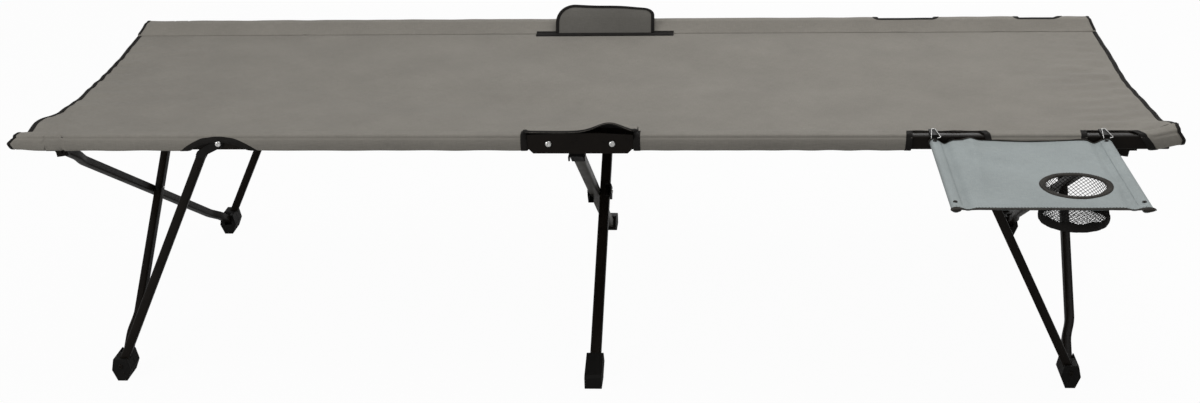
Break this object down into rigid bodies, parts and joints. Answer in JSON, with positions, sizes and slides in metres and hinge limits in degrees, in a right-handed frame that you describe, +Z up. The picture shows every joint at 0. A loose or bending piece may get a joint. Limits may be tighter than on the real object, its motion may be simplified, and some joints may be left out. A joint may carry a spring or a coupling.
{
  "type": "folding camping cot",
  "caption": "Folding camp bed with a grey fabric bed on a black steel tube frame, crossed legs, and a hook-on side table with a cup basket.",
  "frame": {"origin": "on the ground, at the middle of the bounding box, with the side table in it", "axes": "+X along the cot towards the end with the side table, +Y across the cot away from the table, +Z up"},
  "size_m": [2.053, 1.0936, 0.529],
  "materials": {
    "black_paint": "black powder coat, satin",
    "black_plastic": "black moulded plastic, fine grain",
    "bright_steel": "bright zinc-plated rivet",
    "bed_fabric": "warm grey woven polyester, matt",
    "table_fabric": "cool light grey woven polyester, matt",
    "black_binding": "black webbing binding",
    "black_mesh": "black open mesh"
  },
  "bodies": {
    "middle_near": {"hinge_bracket_near": "black_paint", "bed_mid": "bed_fabric", "flap_near": "bed_fabric"},
    "mid_leg_near": {"mid_leg_near_tube": "black_paint", "mid_leg_near_plug": "black_plastic", "mid_leg_near_foot": "black_plastic", "mid_leg_near_rivet": "bright_steel"},
    "mid_leg_far": {"mid_leg_far_tube": "black_paint", "mid_leg_far_plug": "black_plastic", "mid_leg_far_foot": "black_plastic"},
    "middle_far": {"hinge_bracket_far": "black_paint", "flap_far": "bed_fabric"},
    "rail_left_near": {"rail_left_near": "black_paint", "sleeve_left_near": "bed_fabric", "rail_lug_left_near": "black_paint", "bed_left": "bed_fabric"},
    "leg_left_near": {"leg_left_near_tube": "black_paint", "leg_left_near_fork": "black_plastic", "foot_front_left_near": "black_plastic"},
    "yoke_left_near": {"yoke_left_near": "black_paint"},
    "brace_left_near": {"brace_left_near": "black_paint", "brace_rivet_left": "bright_steel"},
    "rear_foot_left_far": {"foot_rear_left_far": "black_plastic"},
    "rail_left_far": {"rail_left_far": "black_paint", "sleeve_left_far": "bed_fabric", "rail_lug_left_far": "black_paint"},
    "leg_left_far": {"leg_left_far_tube": "black_paint", "leg_left_far_fork": "black_plastic", "foot_front_left_far": "black_plastic"},
    "yoke_left_far": {"yoke_left_far": "black_paint"},
    "brace_left_far": {"brace_left_far": "black_paint"},
    "rear_foot_left_near": {"foot_rear_left_near": "black_plastic"},
    "rail_right_near": {"rail_right_near": "black_paint", "sleeve_right_near": "bed_fabric", "rail_lug_right_near": "black_paint", "bed_right": "bed_fabric"},
    "leg_right_near": {"leg_right_near_tube": "black_paint", "leg_right_near_fork": "black_plastic", "foot_front_right_near": "black_plastic"},
    "yoke_right_near": {"yoke_right_near": "black_paint"},
    "brace_right_near": {"brace_right_near": "black_paint", "brace_rivet_right": "bright_steel"},
    "rear_foot_right_far": {"foot_rear_right_far": "black_plastic"},
    "rail_right_far": {"rail_right_far": "black_paint", "sleeve_right_far": "bed_fabric", "rail_lug_right_far": "black_paint"},
    "leg_right_far": {"leg_right_far_tube": "black_paint", "leg_right_far_fork": "black_plastic", "foot_front_right_far": "black_plastic"},
    "yoke_right_far": {"yoke_right_far": "black_paint"},
    "brace_right_far": {"brace_right_far": "black_paint"},
    "rear_foot_right_near": {"foot_rear_right_near": "black_plastic"},
    "table": {"table_top": "table_fabric", "table_arm_left": "black_paint", "table_arm_right": "black_paint", "table_hook_left": "black_plastic", "table_hook_right": "black_plastic", "cup_ring": "black_binding", "cup_basket": "black_mesh"}
  },
  "joints": [
    {"name": "fold", "type": "hinge", "parent": "middle_near", "child": "mid_leg_near", "pos_m": [-0.0103, -0.1982, 0.446], "axis": [-1, 0, 0], "range_deg": [0, 51.33], "deforming": ["bed_left", "bed_mid", "bed_right"]},
    {"name": "mid_legs_cross", "type": "hinge", "parent": "mid_leg_near", "child": "mid_leg_far", "pos_m": [0, 0.1453, 0.23411], "axis": [1, 0, 0], "range_deg": [0, 102.67]},
    {"name": "middle_far_hinge", "type": "hinge", "parent": "mid_leg_far", "child": "middle_far", "pos_m": [0.0103, 0.48879, 0.446], "axis": [-1, 0, 0], "range_deg": [0, 51.34]},
    {"name": "rail_turn_left_near", "type": "hinge", "parent": "middle_near", "child": "rail_left_near", "pos_m": [-0.056, -0.2247, 0.474], "axis": [0, -1, 0], "range_deg": [0, 60]},
    {"name": "leg_turn_left_near", "type": "hinge", "parent": "rail_left_near", "child": "leg_left_near", "pos_m": [-0.644, -0.2247, 0.474], "axis": [0, -1, 0], "range_deg": [0, 114.01]},
    {"name": "yoke_turn_left_near", "type": "hinge", "parent": "rail_left_near", "child": "yoke_left_near", "pos_m": [-0.94351, -0.2247, 0.449], "axis": [0, -1, 0], "range_deg": [0, 80.68]},
    {"name": "brace_turn_left_near", "type": "hinge", "parent": "yoke_left_near", "child": "brace_left_near", "pos_m": [-0.94351, -0.1982, 0.449], "axis": [-0.9887, 0, -0.1499], "range_deg": [0, 51.34]},
    {"name": "rear_foot_turn_left_far", "type": "hinge", "parent": "brace_left_near", "child": "rear_foot_left_far", "pos_m": [-0.88, 0.48879, 0.03], "axis": [0.9887, 0, 0.1499], "range_deg": [0, 51.34]},
    {"name": "rail_turn_left_far", "type": "hinge", "parent": "middle_far", "child": "rail_left_far", "pos_m": [-0.056, 0.51529, 0.474], "axis": [0, -1, 0], "range_deg": [0, 60.01]},
    {"name": "leg_turn_left_far", "type": "hinge", "parent": "rail_left_far", "child": "leg_left_far", "pos_m": [-0.644, 0.51529, 0.474], "axis": [0, -1, 0], "range_deg": [0, 114.01]},
    {"name": "yoke_turn_left_far", "type": "hinge", "parent": "rail_left_far", "child": "yoke_left_far", "pos_m": [-0.94351, 0.51529, 0.449], "axis": [0, -1, 0], "range_deg": [0, 80.68]},
    {"name": "brace_turn_left_far", "type": "hinge", "parent": "yoke_left_far", "child": "brace_left_far", "pos_m": [-0.94351, 0.48879, 0.449], "axis": [0.9887, 0, 0.1499], "range_deg": [0, 51.34]},
    {"name": "rear_foot_turn_left_near", "type": "hinge", "parent": "brace_left_far", "child": "rear_foot_left_near", "pos_m": [-0.88, -0.1982, 0.03], "axis": [-0.9887, 0, -0.1499], "range_deg": [0, 51.34]},
    {"name": "rail_turn_right_near", "type": "hinge", "parent": "middle_near", "child": "rail_right_near", "pos_m": [0.056, -0.2247, 0.474], "axis": [0, 1, 0], "range_deg": [0, 60]},
    {"name": "leg_turn_right_near", "type": "hinge", "parent": "rail_right_near", "child": "leg_right_near", "pos_m": [0.644, -0.2247, 0.474], "axis": [0, 1, 0], "range_deg": [0, 114.01]},
    {"name": "yoke_turn_right_near", "type": "hinge", "parent": "rail_right_near", "child": "yoke_right_near", "pos_m": [0.94351, -0.2247, 0.449], "axis": [0, 1, 0], "range_deg": [0, 80.68]},
    {"name": "brace_turn_right_near", "type": "hinge", "parent": "yoke_right_near", "child": "brace_right_near", "pos_m": [0.94351, -0.1982, 0.449], "axis": [-0.9887, 0, 0.1499], "range_deg": [0, 51.34]},
    {"name": "rear_foot_turn_right_far", "type": "hinge", "parent": "brace_right_near", "child": "rear_foot_right_far", "pos_m": [0.88, 0.48879, 0.03], "axis": [0.9887, 0, -0.1499], "range_deg": [0, 51.34]},
    {"name": "rail_turn_right_far", "type": "hinge", "parent": "middle_far", "child": "rail_right_far", "pos_m": [0.056, 0.51529, 0.474], "axis": [0, 1, 0], "range_deg": [0, 60.01]},
    {"name": "leg_turn_right_far", "type": "hinge", "parent": "rail_right_far", "child": "leg_right_far", "pos_m": [0.644, 0.51529, 0.474], "axis": [0, 1, 0], "range_deg": [0, 114.01]},
    {"name": "yoke_turn_right_far", "type": "hinge", "parent": "rail_right_far", "child": "yoke_right_far", "pos_m": [0.94351, 0.51529, 0.449], "axis": [0, 1, 0], "range_deg": [0, 80.68]},
    {"name": "brace_turn_right_far", "type": "hinge", "parent": "yoke_right_far", "child": "brace_right_far", "pos_m": [0.94351, 0.48879, 0.449], "axis": [0.9887, 0, -0.1499], "range_deg": [0, 51.34]},
    {"name": "rear_foot_turn_right_near", "type": "hinge", "parent": "brace_right_far", "child": "rear_foot_right_near", "pos_m": [0.88, -0.1982, 0.03], "axis": [-0.9887, 0, 0.1499], "range_deg": [0, 51.34]},
    {"name": "table_lift", "type": "slide", "parent": "rail_right_near", "child": "table", "axis": [0, 0, 1], "range_m": [0, 0.15]}
  ],
  "couplings": [
    {"joint": "mid_legs_cross", "follows": "fold", "ratio": 2},
    {"joint": "middle_far_hinge", "follows": "fold", "ratio": 1},
    {"joint": "leg_turn_left_near", "follows": "fold", "ratio": 2.2209},
    {"joint": "yoke_turn_left_near", "follows": "fold", "ratio": 1.5715},
    {"joint": "brace_turn_left_near", "follows": "fold", "ratio": 1},
    {"joint": "rear_foot_turn_left_far", "follows": "fold", "ratio": 1},
    {"joint": "rail_turn_left_far", "follows": "rail_turn_left_near", "ratio": 1},
    {"joint": "leg_turn_left_far", "follows": "fold", "ratio": 2.2209},
    {"joint": "yoke_turn_left_far", "follows": "fold", "ratio": 1.5715},
    {"joint": "brace_turn_left_far", "follows": "fold", "ratio": 1},
    {"joint": "rear_foot_turn_left_near", "follows": "fold", "ratio": 1},
    {"joint": "leg_turn_right_near", "follows": "fold", "ratio": 2.2209},
    {"joint": "yoke_turn_right_near", "follows": "fold", "ratio": 1.5715},
    {"joint": "brace_turn_right_near", "follows": "fold", "ratio": 1},
    {"joint": "rear_foot_turn_right_far", "follows": "fold", "ratio": 1},
    {"joint": "rail_turn_right_far", "follows": "rail_turn_right_near", "ratio": 1},
    {"joint": "leg_turn_right_far", "follows": "fold", "ratio": 2.2209},
    {"joint": "yoke_turn_right_far", "follows": "fold", "ratio": 1.5715},
    {"joint": "brace_turn_right_far", "follows": "fold", "ratio": 1},
    {"joint": "rear_foot_turn_right_near", "follows": "fold", "ratio": 1}
  ]
}
